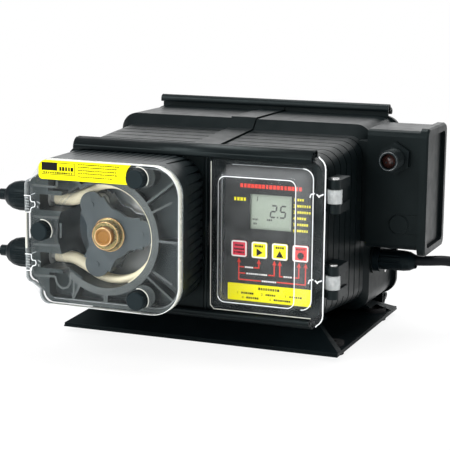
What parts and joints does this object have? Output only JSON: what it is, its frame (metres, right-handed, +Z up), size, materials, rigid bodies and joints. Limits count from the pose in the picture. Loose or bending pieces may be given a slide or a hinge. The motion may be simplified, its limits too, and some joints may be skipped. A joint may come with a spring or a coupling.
{
  "type": "peristaltic metering pump",
  "caption": "Tube pump with a clear-fronted roller head, a key panel under a hinged clear cover, a ribbed case, side junction box, power cord and a folded foot bracket.",
  "frame": {"origin": "on the floor, at the centre of the four bolt holes through the rubber feet", "axes": "+X to the operator's right, +Y to the back, so the front faces -Y, +Z up along the bolt holes"},
  "size_m": [0.4807, 0.3551, 0.1789],
  "materials": {
    "case_black": "fine texture",
    "case_clip": "satin",
    "head_grey": "satin",
    "panel_grey": "smooth",
    "clear": "clear moulding",
    "display_glass": "clear",
    "display_face": "matt",
    "key_crimson": "satin",
    "key_yellow": "satin",
    "key_red": "satin",
    "label_yellow": "printed film",
    "board_green": "lacquered board",
    "iron_core": "laminated",
    "bracket_black": "powder coat",
    "black_rubber": "matt",
    "zinc": "zinc plated",
    "rotor_grey": "satin",
    "roller_white": "smooth",
    "bronze": "turned",
    "copper_button": "turned",
    "bush_bronze": "turned",
    "tube_cream": "smooth",
    "fitting_natural": "natural",
    "gear_grey": "cast",
    "cord_black": "matt"
  },
  "bodies": {
    "case": {"case_left": "case_black", "case_right": "case_black", "rear_panel": "case_black", "drive_front_plate": "case_black", "control_panel": "case_black", "centre_strip": "case_clip", "rail_front_top": "case_clip", "rail_front_bottom": "case_clip", "rail_rear_top": "case_clip", "rail_rear_bottom": "case_clip", "base_bracket": "bracket_black", "rubber_feet": "black_rubber", "base_screws": "zinc", "panel_overlay": "panel_grey", "display_window": "display_glass", "display_module": "display_face", "control_board": "board_green", "label_strip": "label_yellow", "hinge_brackets": "case_clip", "cover_hinge_pins": "zinc", "power_transformer": "iron_core", "head_housing": "head_grey", "shaft_bush": "bush_bronze", "gearbox_case": "gear_grey", "motor": "zinc", "pump_tube": "tube_cream", "tube_fittings": "fitting_natural", "ferrules": "fitting_natural", "junction_body": "case_black", "junction_cap": "case_clip", "signal_connector": "case_clip", "connector_nut": "case_clip", "blank_plug": "case_black", "gland_body": "case_clip", "gland_nut": "case_clip", "power_cord": "cord_black", "cord_coil": "cord_black", "cord_tail": "cord_black", "power_plug": "cord_black"},
    "rotor": {"rotor_front_plate": "rotor_grey", "rotor_back_plate": "rotor_grey", "rotor_hub": "bronze", "hub_button": "copper_button", "roller_pins": "zinc", "drive_shaft": "zinc"},
    "roller_1": {"roller_1": "roller_white"},
    "roller_2": {"roller_2": "roller_white"},
    "roller_3": {"roller_3": "roller_white"},
    "clear_door": {"control_cover": "clear"},
    "key_mode": {"key_mode": "key_crimson"},
    "key_right": {"key_right": "key_yellow"},
    "key_up": {"key_up": "key_yellow"},
    "key_stop": {"key_stop": "key_red"},
    "head_lid": {"head_cover": "clear", "head_label": "label_yellow"},
    "thumb_screw_top": {"thumb_screw_top": "case_clip"},
    "thumb_screw_side": {"thumb_screw_side": "case_clip"},
    "thumb_screw_bottom": {"thumb_screw_bottom": "case_clip"},
    "suction_nut": {"suction_nut": "case_black"},
    "discharge_nut": {"discharge_nut": "case_black"}
  },
  "joints": [
    {"name": "rotor_spin", "type": "hinge", "parent": "case", "child": "rotor", "pos_m": [-0.046, -0.128, 0.0952], "axis": [0, 1, 0], "continuous": true},
    {"name": "roller_1_spin", "type": "hinge", "parent": "rotor", "child": "roller_1", "pos_m": [-0.01985, -0.128, 0.09749], "axis": [0, 1, 0], "continuous": true},
    {"name": "roller_2_spin", "type": "hinge", "parent": "rotor", "child": "roller_2", "pos_m": [-0.06106, -0.128, 0.1167], "axis": [0, 1, 0], "continuous": true},
    {"name": "roller_3_spin", "type": "hinge", "parent": "rotor", "child": "roller_3", "pos_m": [-0.05709, -0.128, 0.07141], "axis": [0, 1, 0], "continuous": true},
    {"name": "clear_door_hinge", "type": "hinge", "parent": "case", "child": "clear_door", "pos_m": [0.1132, -0.089, 0.0952], "axis": [0, 0, 1], "range_deg": [0, 150]},
    {"name": "key_mode_press", "type": "slide", "parent": "case", "child": "key_mode", "axis": [0, 1, 0], "range_m": [0, 0.0004], "stiffness_N_per_m": 600, "springref_m": -0.0005},
    {"name": "key_right_press", "type": "slide", "parent": "case", "child": "key_right", "axis": [0, 1, 0], "range_m": [0, 0.0004], "stiffness_N_per_m": 600, "springref_m": -0.0005},
    {"name": "key_up_press", "type": "slide", "parent": "case", "child": "key_up", "axis": [0, 1, 0], "range_m": [0, 0.0004], "stiffness_N_per_m": 600, "springref_m": -0.0005},
    {"name": "key_stop_press", "type": "slide", "parent": "case", "child": "key_stop", "axis": [0, 1, 0], "range_m": [0, 0.0004], "stiffness_N_per_m": 600, "springref_m": -0.0005},
    {"name": "head_lid_pull", "type": "slide", "parent": "case", "child": "head_lid", "axis": [0, -1, 0], "range_m": [0, 0.06]},
    {"name": "thumb_screw_top_turn", "type": "hinge", "parent": "head_lid", "child": "thumb_screw_top", "pos_m": [-0.013, -0.16, 0.1423], "axis": [0, 1, 0], "continuous": true},
    {"name": "thumb_screw_side_turn", "type": "hinge", "parent": "head_lid", "child": "thumb_screw_side", "pos_m": [-0.092, -0.16, 0.098], "axis": [0, 1, 0], "continuous": true},
    {"name": "thumb_screw_bottom_turn", "type": "hinge", "parent": "head_lid", "child": "thumb_screw_bottom", "pos_m": [-0.013, -0.16, 0.0527], "axis": [0, 1, 0], "continuous": true},
    {"name": "suction_nut_turn", "type": "hinge", "parent": "case", "child": "suction_nut", "pos_m": [-0.126, -0.128, 0.073], "axis": [1, 0, 0], "continuous": true},
    {"name": "discharge_nut_turn", "type": "hinge", "parent": "case", "child": "discharge_nut", "pos_m": [-0.126, -0.128, 0.1174], "axis": [1, 0, 0], "continuous": true}
  ],
  "couplings": [
    {"joint": "roller_1_spin", "follows": "rotor_spin", "ratio": -5.1385},
    {"joint": "roller_2_spin", "follows": "rotor_spin", "ratio": -5.1385},
    {"joint": "roller_3_spin", "follows": "rotor_spin", "ratio": -5.1385}
  ]
}
